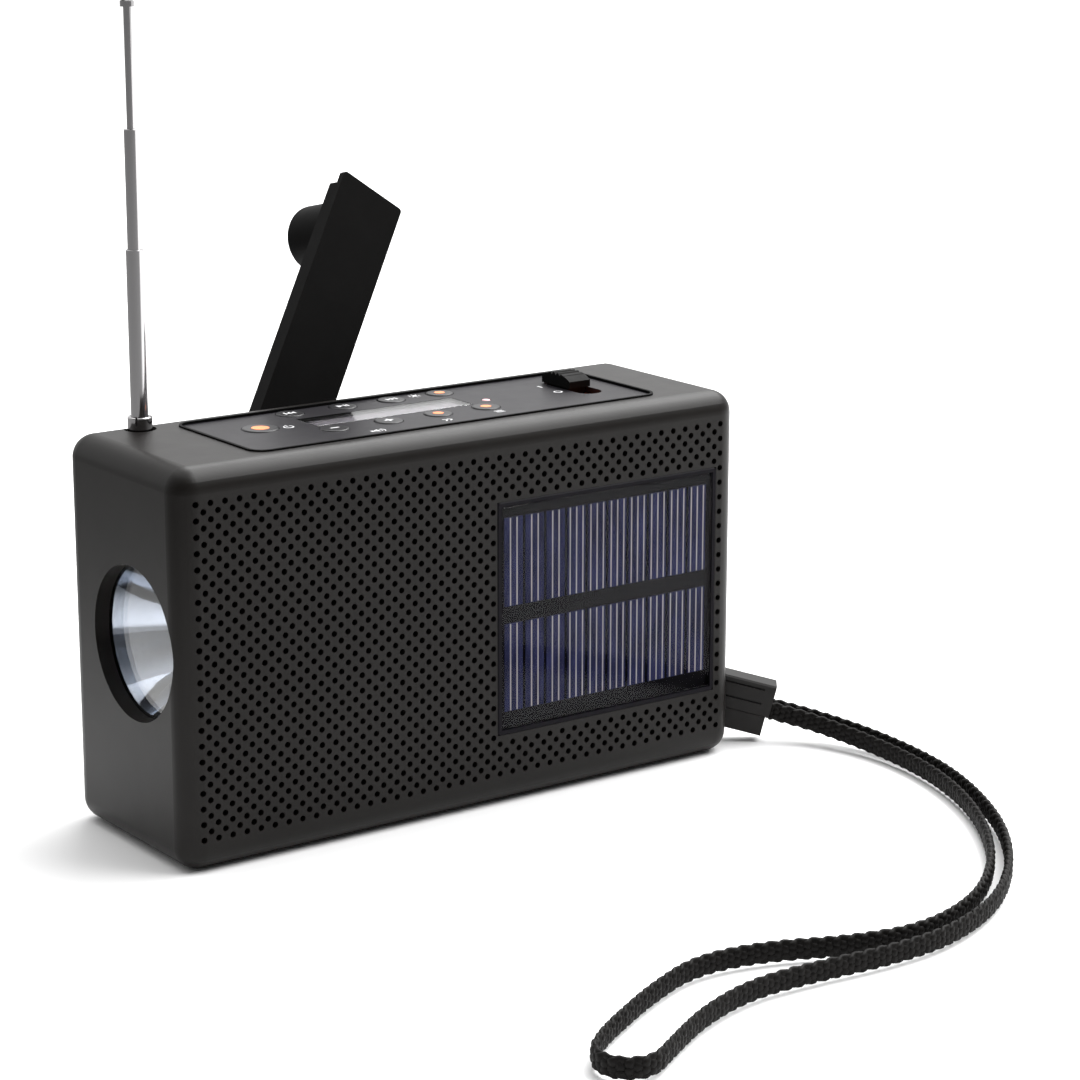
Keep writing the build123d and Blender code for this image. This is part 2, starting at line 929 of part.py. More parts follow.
def place_on_arm(shape):
    return place_on_hub(shape.rotate(Axis.X, -arm_lean))


def crank_hub():
    disc = rod_y(hub_radius, -hub_to_hinge, -hub_to_hinge + hub_thick, 0, 0)
    disc = fillet(disc.faces().sort_by(Axis.Y)[-1].edges(), 0.6)
    lug = block(
        (-lug_wide / 2, -hub_to_hinge + hub_thick - 0.2, -lug_radius),
        (lug_wide / 2, 0, lug_radius),
    )
    lug += rod_x(lug_radius, -lug_wide / 2, lug_wide / 2, 0, 0)
    shaft_end = gear_plate_y + 0.2 - hinge_y
    shaft = rod_y(hub_shaft_radius, shaft_end, -hub_to_hinge + 0.1, 0, 0)
    hub = disc + lug + shaft - rod_x(hinge_pin_radius, -lug_wide, lug_wide, 0, 0)
    return place_on_hub(hub)


def hinge_pin():
    half = arm_wide / 2 - 0.3
    return place_on_hub(rod_x(hinge_pin_radius, -half, half, 0, 0))


def crank_arm():
    half = arm_thick / 2
    bar = block(
        (-arm_wide / 2, -half, -arm_heel), (arm_wide / 2, half, arm_long - lip_long)
    )
    bar = fillet(bar.edges().filter_by(Axis.X).sort_by(Axis.Z)[:2], half - 0.1)
    bar = fillet(bar.edges().filter_by(Axis.X).sort_by(Axis.Z)[-1:], 0.2)
    bar += block(
        (-arm_wide / 2, -half, arm_long - lip_long - 1),
        (arm_wide / 2, -half + lip_thick, arm_long),
    )
    bar = fillet(bar.edges().filter_by(Axis.Y).sort_by(Axis.Z)[-2:], 0.9)
    bar -= block((-fork_gap / 2, -half - 1, -arm_heel - 1), (fork_gap / 2, half + 1, fork_deep))
    bar += rod_y(knob_seat_radius, half - 0.2, half + 0.3, 0, knob_reach)
    bar -= rod_x(hinge_pin_radius + running_gap, -arm_wide, arm_wide, 0, 0)
    bar -= rod_y(knob_pin_radius, -half + 1.0, half + 1, 0, knob_reach)
    return place_on_arm(bar)


def crank_knob():
    low = arm_thick / 2 + 0.5
    high = arm_thick / 2 + knob_deep
    knob = rod_y(knob_radius, low, high, 0, knob_reach)
    knob = fillet(knob.faces().sort_by(Axis.Y)[-1].edges(), 1.6)
    knob = fillet(knob.faces().sort_by(Axis.Y)[0].edges(), 0.4)
    knob -= rod_y(knob_head_radius + 0.4, high - 2.2, high + 1, 0, knob_reach)
    knob -= rod_y(knob_pin_radius + running_gap, 0, high + 1, 0, knob_reach)
    return place_on_arm(knob)


def knob_pin():
    high = arm_thick / 2 + knob_deep
    pin = rod_y(knob_pin_radius, -arm_thick / 2 + 1.0, high - 1.9, 0, knob_reach)
    head = rod_y(knob_head_radius, high - 2.0, high - 0.7, 0, knob_reach)
    return place_on_arm(pin + head)


# --- gear train ---
first_centre = gear_module * (crank_teeth + small_teeth) / 2
second_centre = fine_module * (large_teeth + pinion_teeth) / 2
double_x = hub_x + first_centre * cos(radians(first_mesh_angle))
double_z = hub_z + first_centre * sin(radians(first_mesh_angle))
generator_x = double_x + second_centre * cos(radians(second_mesh_angle))
generator_z = double_z + second_centre * sin(radians(second_mesh_angle))
gear_plate_back = gear_plate_y + gear_plate_thick
crank_gear_y = gear_plate_back + 4.1
large_gear_y = gear_plate_back + 0.6
large_gear_thick = 2.0
rotor_shaft_radius = 1.0


def tooth_angle(radius, pitch_radius, teeth, backlash):
    """Half the angle that an involute tooth covers at a radius, at 20 degrees pressure."""
    base = pitch_radius * cos(radians(20))
    at_pitch = pi / (2 * teeth) - backlash / (2 * pitch_radius)
    if radius <= base:
        radius = base
    rise = sqrt(radius**2 / base**2 - 1)
    pitch_rise = tan(radians(20))
    roll = rise - atan2(rise, 1)
    pitch_roll = pitch_rise - atan2(pitch_rise, 1)
    return at_pitch + pitch_roll - roll


def gear(teeth, module, thick, first_tooth, addendum=0.9):
    """A spur gear standing on z = 0 in the XY plane; first_tooth is an angle in degrees."""
    pitch_radius = module * teeth / 2
    root = pitch_radius - 1.2 * module
    tip = pitch_radius + addendum * module
    backlash = 0.22 * module
    points = []
    for k in range(teeth):
        middle = radians(first_tooth) + 2 * pi * k / teeth
        flank = [root] + [root + (tip - root) * s / 4 for s in range(1, 5)]
        turns = [-tooth_angle(r, pitch_radius, teeth, backlash) for r in flank]
        left = [(r * cos(middle + t), r * sin(middle + t)) for r, t in zip(flank, turns)]
        right = [(r * cos(middle - t), r * sin(middle - t)) for r, t in zip(flank, turns)]
        points += left + right[::-1]
    return extrude(make_face(Polyline(*points, close=True)), thick)


def lay_gear(shape, x, z, y_low, thick):
    """Turns a gear's axis from Z to Y, so that angles run from +X towards +Z."""
    return Pos(x, y_low + thick, z) * Rot(90, 0, 0) * shape


def crank_gear():
    thick = 3.0
    collar_radius = hub_shaft_radius + 2.5
    spokes = 5
    hole_at, hole_size = 10.2, 2.8
    wheel = gear(crank_teeth, gear_module, thick, first_mesh_angle)
    wheel += extrude(Circle(collar_radius), thick + 1.2)
    wheel -= Pos(0, 0, -1) * extrude(Circle(hub_shaft_radius), 9)
    for k in range(spokes):
        angle = 360 / spokes * (k + 0.5)
        wheel -= Rot(0, 0, angle) * Pos(hole_at, 0, -1) * extrude(Circle(hole_size), 9)
    return lay_gear(wheel, hub_x, hub_z, crank_gear_y, thick)


def double_gear():
    small_thick = 5.4
    small = gear(
        small_teeth, gear_module, small_thick, first_mesh_angle + 180 + 180 / small_teeth
    )
    large = gear(large_teeth, fine_module, large_gear_thick, second_mesh_angle)
    large_placed = lay_gear(large, double_x, double_z, large_gear_y, large_gear_thick)
    small_low = large_gear_y + large_gear_thick - 0.1
    small_placed = lay_gear(small, double_x, double_z, small_low, small_thick)
    bore = rod_y(gear_pin_radius + running_gap, 0, back_y, double_x, double_z)
    return large_placed + small_placed - bore


def gear_pin():
    return rod_y(
        gear_pin_radius, gear_plate_y, well_floor - 0.8, double_x, double_z
    )


def generator_pinion():
    thick = 2.6
    wheel = gear(
        pinion_teeth, fine_module, thick, second_mesh_angle + 180 + 180 / pinion_teeth
    )
    placed = lay_gear(wheel, generator_x, generator_z, large_gear_y - 0.3, thick)
    shaft = rod_y(
        rotor_shaft_radius,
        gear_plate_y - generator_deep + 1,
        large_gear_y + 3,
        generator_x,
        generator_z,
    )
    return placed + shaft


def generator_can():
    can = rod_y(
        generator_radius, gear_plate_y - generator_deep, gear_plate_y, generator_x, generator_z
    )
    can = fillet(can.faces().sort_by(Axis.Y)[0].edges(), 1.2)
    return can - rod_y(rotor_shaft_radius + running_gap, -20, 20, generator_x, generator_z)


def gear_plate():
    (left, low), (right, high) = gear_plate_low, gear_plate_high
    plate = block((left, gear_plate_y, low), (right, gear_plate_back, high))
    # a corner is cut away beside the flashlight's barrel
    notch_x, notch_z = gear_plate_notch
    plate -= block((left - 1, 0, low - 1), (notch_x, back_y, notch_z))
    plate -= rod_y(hub_shaft_radius + running_gap, 0, back_y, hub_x, hub_z)
    plate -= rod_y(gear_pin_radius, 0, back_y, double_x, double_z)
    bore = rod_y(rotor_shaft_radius + running_gap, 0, back_y, generator_x, generator_z)
    return plate - bore


# --- battery, main board and sockets ---
def battery():
    low = battery_x - battery_long / 2
    high = low + battery_long
    cell = rod_x(cell_radius, low, high, battery_y, battery_z)
    return cell + rod_x(3.0, high - 0.1, high + 1.5, battery_y, battery_z)


def battery_tray():
    half = battery_long / 2 + 2.0
    tray = block(
        (battery_x - half - 2, battery_y - cell_radius - 1.5, wall),
        (battery_x + half + 2, battery_y + cell_radius + 1.5, battery_z - 2),
    )
    return tray - rod_x(
        cell_radius + 0.1, battery_x - half, battery_x + half, battery_y, battery_z
    )


def main_board():
    return block(
        (main_board_left, main_board_y, main_board_low),
        (
            right_x - wall - 1.8,
            main_board_y + main_board_thick,
            main_board_low + main_board_tall,
        ),
    )


def usb_outline(grow, x0, x1):
    """The rounded outline of a small charging socket, standing upright, along X."""
    slot = SlotOverall(9.0 + 2 * grow, 3.2 + 2 * grow)
    plane = Plane(origin=(x0, usb_y, usb_z), x_dir=(0, 0, 1), z_dir=(1, 0, 0))
    return extrude(plane * slot, x1 - x0)


def usb_socket():
    front = right_x - 0.3
    shell = usb_outline(0, front - 8.0, front) - usb_outline(-0.3, front - 6.7, front + 1)
    tongue = block(
        (front - 6.8, usb_y - 0.35, usb_z - 3.3), (front - 0.8, usb_y + 0.35, usb_z + 3.3)
    )
    return shell + tongue


def headphone_jack():
    nose_low = right_x - wall - 0.5
    body = block(
        (right_x - jack_deep, main_board_y + main_board_thick, jack_z - 3.6),
        (nose_low, jack_y + 3.2, jack_z + 3.6),
    )
    jack = body + rod_x(jack_nose, nose_low - 0.1, right_x - 0.2, jack_y, jack_z)
    return jack - rod_x(jack_radius, right_x - jack_deep + 1.2, right_x + 1, jack_y, jack_z)


# --- strap clip, its pin and the wrist strap ---
heading = radians(clip_heading)
droop = radians(clip_droop)
clip_along = Vector(cos(heading) * cos(droop), sin(heading) * cos(droop), -sin(droop))
clip_side = Vector(-sin(heading), cos(heading), 0)
clip_root = Vector(right_x, clip_y, clip_z)
clip_end = clip_root + clip_along * clip_long


def place_clip(shape):
    """Moves a shape drawn along +X from the origin to the clip's heading and droop."""
    return Pos(*clip_root) * shape.rotate(Axis.Y, clip_droop).rotate(Axis.Z, clip_heading)


def strap_clip():
    half = clip_thick / 2
    foot_half = clip_foot_thick / 2
    top = clip_tall / 2
    foot_top = -top + clip_foot_tall
    upper = block((-12, -half, foot_top), (clip_long, half, top))
    upper = chamfer(upper.edges().filter_by(Axis.X), 0.4)
    foot = block((-12, -foot_half, -top), (clip_long - 0.8, foot_half, foot_top + 0.2))
    body = upper + foot
    for z in (top - 1.4, top - 5.0):
        for side in (-half, half):
            body -= Pos(clip_long * 0.4, side, z) * Box(
                clip_long * 0.9, 2 * clip_groove, clip_groove
            )
    clip = place_clip(body) - block(
        (-case_width, -case_width, -case_width), (right_x + 0.1, case_width, case_width)
    )
    neck = block(
        (neck_root, clip_y - neck_wide / 2, clip_z - neck_tall / 2),
        (right_x + 1.5, clip_y + neck_wide / 2, clip_z + neck_tall / 2),
    )
    return clip + neck - rod_z(strap_pin_radius, 0, 30, strap_pin_x, clip_y)


def strap_pin():
    low = clip_z - neck_tall / 2 - 2.3
    return rod_z(strap_pin_radius, low, clip_z + neck_tall / 2 + 2.3, strap_pin_x, clip_y)


def strap_route():
    aside = clip_side * (strap_spacing / 2)
    start, end = clip_end - aside, clip_end + aside
    lying = [Vector(*p) for p in strap_out]
    first, last = start + clip_along * strap_first_run, end + clip_along * strap_last_run
    return [start, first, *lying, last, end]


def route_radii(points):
    radii = []
    for a, b, c in zip(points, points[1:], points[2:]):
        turn = radians((b - a).get_angle(c - b))
        shorter = min((b - a).length, (c - b).length)
        radii.append(0.45 * shorter / tan(turn / 2))
    return radii


def wrist_strap():
    points = strap_route()
    radii = route_radii(points)
    path = FilletPolyline(*points, radius=radii)
    tape = Rectangle(strap_thick, strap_wide)
    section = Plane(origin=points[0], x_dir=clip_side, z_dir=clip_along) * tape
    strap = sweep(section, path=path)
    print("strap radii", [round(r, 1) for r in radii])
    print("strap length", round(path.length, 1), "mm")
    print("strap volume over section times length", round(
        strap.volume / (strap_thick * strap_wide * path.length), 4))
    return strap


makers = [
    front_case, front_grille, rear_cover, cover_screws,
    speaker_cloth, speaker_frame, speaker_cone, speaker_magnet,
    solar_tray, solar_rim, solar_board, solar_cells, solar_cover,
    control_panel, display_window, display_module, status_light,
    power_knob, power_slider, slide_switch, keypad_board, keypad_switches,
    flashlight_lens, flashlight_reflector, flashlight_board, flashlight_led,
    antenna_bushing, antenna_bracket, antenna_tube_1, antenna_tube_2, antenna_rod, antenna_tip,
    crank_hub, hinge_pin, crank_arm, crank_knob, knob_pin,
    crank_gear, double_gear, gear_pin, generator_pinion, generator_can, gear_plate,
    battery, battery_tray, main_board, usb_socket, headphone_jack,
    strap_clip, strap_pin, wrist_strap,
]

os.makedirs("parts", exist_ok=True)
for make in makers:
    export_step(make(), f"parts/{make.__name__}.step")
for name in buttons:
    export_step(button(name), f"parts/{name}.step")
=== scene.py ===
import json
from math import asin, cos, pi, radians, sin

import bmesh
import bpy
from mathutils import Matrix, Vector


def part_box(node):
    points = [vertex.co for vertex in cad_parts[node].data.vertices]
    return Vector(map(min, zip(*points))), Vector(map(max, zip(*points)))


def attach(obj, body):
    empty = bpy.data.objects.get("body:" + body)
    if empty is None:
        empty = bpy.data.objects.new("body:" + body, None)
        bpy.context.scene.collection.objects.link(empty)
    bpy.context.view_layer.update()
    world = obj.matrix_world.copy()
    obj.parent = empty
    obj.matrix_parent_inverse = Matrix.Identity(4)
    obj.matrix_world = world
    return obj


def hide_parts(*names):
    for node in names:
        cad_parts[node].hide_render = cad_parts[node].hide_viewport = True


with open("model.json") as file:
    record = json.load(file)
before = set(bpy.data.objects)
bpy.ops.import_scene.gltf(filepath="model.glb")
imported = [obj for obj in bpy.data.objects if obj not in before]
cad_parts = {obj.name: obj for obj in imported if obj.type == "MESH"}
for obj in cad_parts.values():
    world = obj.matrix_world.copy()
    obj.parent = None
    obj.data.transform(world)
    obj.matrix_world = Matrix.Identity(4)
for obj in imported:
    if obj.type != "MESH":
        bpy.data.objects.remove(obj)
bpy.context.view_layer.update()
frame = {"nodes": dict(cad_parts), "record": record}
nodes = frame["nodes"]
MM = 0.001


# --- camera ---
CAMERA_PLACE = (-0.3734, -0.5640, 0.2283)
CAMERA_HEADING = 35.953
CAMERA_DOWN = 14.130
CAMERA_ROLL = 0.084
CAMERA_LENS = 101.67
CAMERA_SENSOR = 36
CAMERA_NEAR = 0.01


def make_camera():
    data = bpy.data.cameras.new("camera")
    data.lens = CAMERA_LENS
    data.sensor_width = CAMERA_SENSOR
    data.clip_start = CAMERA_NEAR
    camera = bpy.data.objects.new("camera", data)
    bpy.context.scene.collection.objects.link(camera)
    heading, down, roll = map(radians, (CAMERA_HEADING, CAMERA_DOWN, CAMERA_ROLL))
    forward = Vector((sin(heading) * cos(down), cos(heading) * cos(down), -sin(down)))
    right = forward.cross(Vector((0, 0, 1))).normalized()
    up = right.cross(forward)
    turned_right = right * cos(roll) + up * sin(roll)
    turned_up = up * cos(roll) - right * sin(roll)
    turn = Matrix((turned_right, turned_up, -forward)).transposed()
    camera.matrix_world = Matrix.Translation(CAMERA_PLACE) @ turn.to_4x4()
    bpy.context.scene.camera = camera


make_camera()


# --- materials ---
def socket(shader, name, value):
    shader.inputs[name].default_value = value


class Finish:
    """A procedural material: one Principled shader, and short calls for what varies over it."""

    def __init__(self, name, colour, rough, metal=0.0, **sockets):
        self.material = bpy.data.materials.new(name)
        self.material.use_nodes = True
        self.tree = self.material.node_tree
        self.shader = self.tree.nodes["Principled BSDF"]
        socket(self.shader, "Base Color", (*colour, 1))
        socket(self.shader, "Roughness", rough)
        socket(self.shader, "Metallic", metal)
        for key, value in sockets.items():
            socket(self.shader, key.replace("_", " "), value)
        self.place = self.node("ShaderNodeTexCoord").outputs["Object"]
        self.bumped = None

    def node(self, kind, **values):
        made = self.tree.nodes.new(kind)
        for key, value in values.items():
            setattr(made, key, value)
        return made

    def link(self, a, b):
        self.tree.links.new(a, b)

    def stretched(self, stretch):
        if stretch is None:
            return self.place
        mapping = self.node("ShaderNodeMapping")
        socket(mapping, "Scale", stretch)
        self.link(self.place, mapping.inputs["Vector"])
        return mapping.outputs["Vector"]

    def noise(self, scale, detail=2.0, stretch=None):
        made = self.node("ShaderNodeTexNoise")
        socket(made, "Scale", scale)
        socket(made, "Detail", detail)
        self.link(self.stretched(stretch), made.inputs["Vector"])
        return made.outputs["Fac"]

    def ramp(self, value, stops):
        made = self.node("ShaderNodeValToRGB")
        marks = made.color_ramp.elements
        while len(marks) < len(stops):
            marks.new(0.5)
        for mark, (at, colour) in zip(marks, stops):
            mark.position = at
            mark.color = (*colour, 1)
        self.link(value, made.inputs["Fac"])
        return made.outputs["Color"]

    def tint(self, value, dark, light, low=0.3, high=0.7):
        self.link(self.ramp(value, [(low, dark), (high, light)]), self.shader.inputs["Base Color"])
        return self

    def vary_rough(self, value, low, high):
        made = self.node("ShaderNodeMapRange")
        socket(made, "To Min", low)
        socket(made, "To Max", high)
        self.link(value, made.inputs["Value"])
        self.link(made.outputs["Result"], self.shader.inputs["Roughness"])
        return self

    def bump(self, height, strength, depth_mm):
        made = self.node("ShaderNodeBump")
        socket(made, "Strength", strength)
        socket(made, "Distance", depth_mm * MM)
        self.link(height, made.inputs["Height"])
        if self.bumped:
            self.link(self.bumped, made.inputs["Normal"])
        self.bumped = made.outputs["Normal"]
        self.link(self.bumped, self.shader.inputs["Normal"])
        return self


def soft_touch():
    finish = Finish("soft_touch", (0.008, 0.0068, 0.006), 0.38, Specular_IOR_Level=0.18)
    finish.tint(finish.noise(60, 5), (0.0068, 0.0057, 0.005), (0.009, 0.0078, 0.0069))
    finish.vary_rough(finish.noise(140, 3), 0.35, 0.42)
    finish.bump(finish.noise(3200, 1), 0.5, 0.03)
    return finish.bump(finish.noise(1100, 2), 0.25, 0.03)


def satin_panel():
    finish = Finish("satin_panel", (0.017, 0.016, 0.018), 0.39, Specular_IOR_Level=0.12)
    finish.tint(finish.noise(90, 4), (0.014, 0.013, 0.0155), (0.019, 0.018, 0.0205))
    finish.vary_rough(finish.noise(200, 3), 0.35, 0.43)
    return finish.bump(finish.noise(4200, 1), 0.3, 0.012)


def moulded(name, colour, rough, grain=2600, depth=0.015, shine=0.5):
    finish = Finish(name, colour, rough, Specular_IOR_Level=shine)
    darker = tuple(c * 0.85 for c in colour)
    lighter = tuple(min(1.0, c * 1.15) for c in colour)
    finish.tint(finish.noise(120, 4), darker, lighter)
    finish.vary_rough(finish.noise(300, 3), rough * 0.88, min(1.0, rough * 1.12))
    return finish.bump(finish.noise(grain, 2), 0.4, depth)


def drawn_metal(name, colour, rough, stretch):
    finish = Finish(name, colour, rough, 1.0)
    finish.vary_rough(finish.noise(900, 4, stretch), rough * 0.6, rough * 1.5)
    return finish.bump(finish.noise(2400, 2, stretch), 0.12, 0.006)


def braided_cord():
    finish = Finish("braided_cord", (0.005, 0.0044, 0.004), 0.55, Specular_IOR_Level=0.12)
    finish.tint(finish.noise(700, 3), (0.0035, 0.003, 0.0027), (0.0075, 0.0066, 0.006))
    return finish.bump(finish.noise(5200, 3), 0.6, 0.05)


def clear(name, rough=0.02, colour=(1, 1, 1), index=1.46):
    finish = Finish(name, colour, rough, IOR=index, Transmission_Weight=1.0)
    return finish.vary_rough(finish.noise(160, 2), rough * 0.5, rough * 1.5)


soft = soft_touch()
panel = satin_panel()
key = moulded("key_plastic", (0.016, 0.0155, 0.017), 0.34, 3600, 0.01, 0.25)
crank_plastic = moulded("crank_plastic", (0.0038, 0.0036, 0.0035), 0.5, 3000, 0.02, 0.05)
knob_plastic = moulded("knob_plastic", (0.004, 0.0038, 0.0037), 0.5, 2600, 0.015, 0.05)
inner_plastic = moulded("inner_plastic", (0.02, 0.02, 0.02), 0.5)
clip_plastic = moulded("clip_plastic", (0.008, 0.0068, 0.0062), 0.45, 2600, 0.015, 0.2)
gear_plastic = moulded("gear_plastic", (0.62, 0.6, 0.54), 0.4)
chrome = drawn_metal("chrome_tube", (0.47, 0.46, 0.465), 0.1, (6, 6, 0.2))
reflector = drawn_metal("reflector", (0.42, 0.46, 0.53), 0.05, (1, 1, 1))
steel = drawn_metal("steel", (0.55, 0.55, 0.56), 0.28, (1, 1, 1))
brass = drawn_metal("brass", (0.78, 0.57, 0.25), 0.25, (1, 1, 1))
lens_glass = clear("lens_glass")
window_glass = clear("window_glass", 0.08, (0.86, 0.85, 0.87))
solar_glass = Finish("solar_resin", (0.002, 0.002, 0.003), 0.06, IOR=1.35, Alpha=0.25)
solar_glass.vary_rough(solar_glass.noise(200, 2), 0.04, 0.09)
display = moulded("display", (0.46, 0.44, 0.47), 0.35)
solar_cell = Finish("solar_cell", (0.04, 0.045, 0.13), 0.4, Specular_IOR_Level=0.05)
solar_cell.tint(solar_cell.noise(330, 4, (1, 1, 0.22)), (0.017, 0.017, 0.052), (0.052, 0.058, 0.165))
solar_black = moulded("solar_black", (0.008, 0.0072, 0.0095), 0.45, 2600, 0.01, 0.05)
finger_silver = moulded("finger_silver", (0.44, 0.42, 0.45), 0.5, 2600, 0.005, 0.3)
orange = moulded("orange", (0.95, 0.2, 0.06), 0.45, 2600, 0.01, 0.3)
orange_print = moulded("orange_print", (0.96, 0.26, 0.1), 0.5, 2600, 0.005, 0.3)
white_print = moulded("white_print", (0.72, 0.72, 0.73), 0.5, 2600, 0.005, 0.3)
status = moulded("status", (0.75, 0.42, 0.45), 0.35)
board = moulded("board", (0.02, 0.13, 0.05), 0.4)
battery = moulded("battery", (0.03, 0.2, 0.24), 0.35)
paper = moulded("paper", (0.05, 0.048, 0.045), 0.8, 1200, 0.08)
cloth = moulded("cloth", (0.006, 0.006, 0.006), 0.9, 2600, 0.1)
# near black: painted shade for the control panel's side face in shadow
panel_edge_painted_shade = moulded("panel_edge_painted_shade", (0.003, 0.0028, 0.0028), 0.6, 2600, 0.01, 0.05)
braid_finish = braided_cord()

SLOT_FINISH = {
    "case": soft, "panel": panel, "key": key, "crank": crank_plastic, "knob": knob_plastic,
    "chrome_tube": chrome, "reflector": reflector, "lens": lens_glass, "display_pane": window_glass,
    "display": display, "solar_glass": solar_glass, "solar_cell": solar_cell,
    "solar_black": solar_black, "orange": orange, "status": status, "inner_plastic": inner_plastic,
    "board": board, "steel": steel, "brass": brass, "gear": gear_plastic, "battery": battery,
    "paper": paper, "cloth": cloth, "strap": braid_finish, "clip": clip_plastic,
}


def dress(obj, finish):
    obj.data.materials.clear()
    obj.data.materials.append(finish.material)


def dress_cad_nodes():
    """Each CAD node gets the finish of its slot in the record."""
    for row in frame["record"]["subparts"]:
        dress(nodes[row["node"]], SLOT_FINISH[row["material_slot"]])


dress_cad_nodes()


# --- pieces ---
def piece(name, bm, body, finish, smooth=False):
    mesh = bpy.data.meshes.new(name)
    bmesh.ops.recalc_face_normals(bm, faces=bm.faces)
    for face in bm.faces:
        face.smooth = smooth
    bm.to_mesh(mesh)
    bm.free()
    obj = bpy.data.objects.new(name, mesh)
    bpy.context.scene.collection.objects.link(obj)
    dress(obj, finish)
    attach(obj, body)
    return obj


# --- wrist strap ---
STRAP_WIDE = 0.0052
STRAP_SMOOTH = 24
STRAP_ORDER = 3
# control points in mm, from the strap's pin round the loop on the floor and back to the pin
STRAP_POINTS = [
    (87.34, -23.94, 7.60), (93.78, -29.10, 5.57), (98.4, -43.0, 3.5), (99.0, -57.8, 2.65),
    (95.7, -74.2, 2.65), (88.6, -91.8, 2.65), (78.2, -108.6, 2.65), (64.4, -124.8, 2.65),
    (46.7, -138.2, 2.65), (26.5, -144.6, 2.65), (9.5, -141.2, 2.65), (-6.0, -133.6, 2.65),
    (-22.0, -131.2, 2.65), (-37.0, -137.2, 2.65), (-48.5, -143.3, 2.65), (-58.5, -149.1, 2.65),
    (-65.0, -154.8, 2.65), (-64.1, -161.5, 2.65), (-57.9, -164.4, 2.65), (-49.4, -159.1, 2.65),
    (-36.0, -151.5, 2.65), (-20.0, -146.6, 2.65), (-3.0, -147.6, 2.65), (12.0, -149.4, 2.65),
    (29.0, -149.0, 2.65), (49.0, -141.6, 2.65), (67.0, -127.6, 2.65), (81.4, -110.8, 2.65),
    (91.8, -93.2, 2.65), (99.2, -75.2, 2.65), (102.6, -58.2, 2.65), (102.0, -42.4, 3.5),
    (96.92, -27.51, 5.22), (89.34, -21.44, 7.60),
]
STRANDS = 5
STRAND_PERIOD = 15.0 * MM
STRAND_HALF_WIDE = 0.98 * MM
STRAND_HALF_THICK = 0.52 * MM
STRAND_RISE = 0.5 * MM
STRAND_SIDES = 8
ZIGZAG_POINT = 0.985
ZIGZAG_LEVEL = 2.6
BRAID_STEP = 0.45 * MM


def strap_line():
    """The strap's centre line, read from its spline."""
    curve = bpy.data.curves.new("strap_line", "CURVE")
    curve.dimensions = "3D"
    curve.resolution_u = STRAP_SMOOTH
    spline = curve.splines.new("NURBS")
    spline.points.add(len(STRAP_POINTS) - 1)
    for point, place in zip(spline.points, STRAP_POINTS):
        point.co = (*(Vector(place) * MM), 1)
    spline.order_u = STRAP_ORDER
    spline.use_endpoint_u = True
    holder = bpy.data.objects.new("strap_line", curve)
    bpy.context.scene.collection.objects.link(holder)
    bpy.context.view_layer.update()
    mesh = bpy.data.meshes.new_from_object(holder)
    line = [v.co.copy() for v in mesh.vertices]
    bpy.data.objects.remove(holder)
    bpy.data.meshes.remove(mesh)
    return line


def evenly(line, step):
    """Points along a line, all the same distance apart."""
    lengths = [0.0]
    for a, b in zip(line, line[1:]):
        lengths.append(lengths[-1] + (b - a).length)
    count = round(lengths[-1] / step)
    points, k = [], 0
    for i in range(count + 1):
        want = lengths[-1] * i / count
        while k < len(line) - 2 and lengths[k + 1] < want:
            k += 1
        share = (want - lengths[k]) / (lengths[k + 1] - lengths[k])
        points.append(line[k].lerp(line[k + 1], share))
    return points, lengths[-1]


def braid_offset(phase):
    """Across and out of the tape, from -1 to 1, for a strand at a phase of its zigzag."""
    across = 2 / pi * asin(ZIGZAG_POINT * sin(2 * pi * (phase - 0.25)))
    side = max(-1.0, min(1.0, ZIGZAG_LEVEL * sin(2 * pi * phase)))
    return across, side * cos(2 * pi * STRANDS * phase)


def tube(bm, centres, frames, half_wide, half_thick, sides):
    """A closed tube with an oval section along some centres."""
    rings = []
    for centre, (wide, thick) in zip(centres, frames):
        ring = []
        for k in range(sides):
            turn = 2 * pi * k / sides
            place = centre + wide * (half_wide * cos(turn)) + thick * (half_thick * sin(turn))
            ring.append(bm.verts.new(place))
        rings.append(ring)
    for a, b in zip(rings, rings[1:]):
        for k in range(sides):
            bm.faces.new((a[k], a[(k + 1) % sides], b[(k + 1) % sides], b[k]))
    bm.faces.new(rings[0][::-1])
    bm.faces.new(rings[-1])


def make_strap():
    line = strap_line()
    points, length = evenly(line, BRAID_STEP)
    last = len(points) - 1
    along = [(points[min(i + 2, last)] - points[max(i - 2, 0)]).normalized() for i in range(last + 1)]
    rise = [(Vector((0, 0, 1)) - t * t.z).normalized() for t in along]
    out = [t.cross(u) for t, u in zip(along, rise)]
    reach = STRAP_WIDE / 2 - STRAND_HALF_WIDE
    bm = bmesh.new()
    for strand in range(STRANDS):
        centres = []
        for i, point in enumerate(points):
            across, over = braid_offset(i * BRAID_STEP / STRAND_PERIOD + strand / STRANDS)
            centres.append(point + rise[i] * (reach * across) + out[i] * (STRAND_RISE * over))
        frames = []
        for i in range(last + 1):
            way = (centres[min(i + 1, last)] - centres[max(i - 1, 0)]).normalized()
            thick = (out[i] - way * out[i].dot(way)).normalized()
            frames.append((way.cross(thick), thick))
        tube(bm, centres, frames, STRAND_HALF_WIDE, STRAND_HALF_THICK, STRAND_SIDES)
    strap = piece("strap_braid", bm, "radio", braid_finish, smooth=True)
    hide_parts("wrist_strap")


make_strap()


# --- prints on the keys and the panel: outlines are in mm ---
PRINT_THICK = 0.04 * MM
PRINT_STEPS = 40
SIGN_LINE = 0.4
SIGN_TALL = 1.7


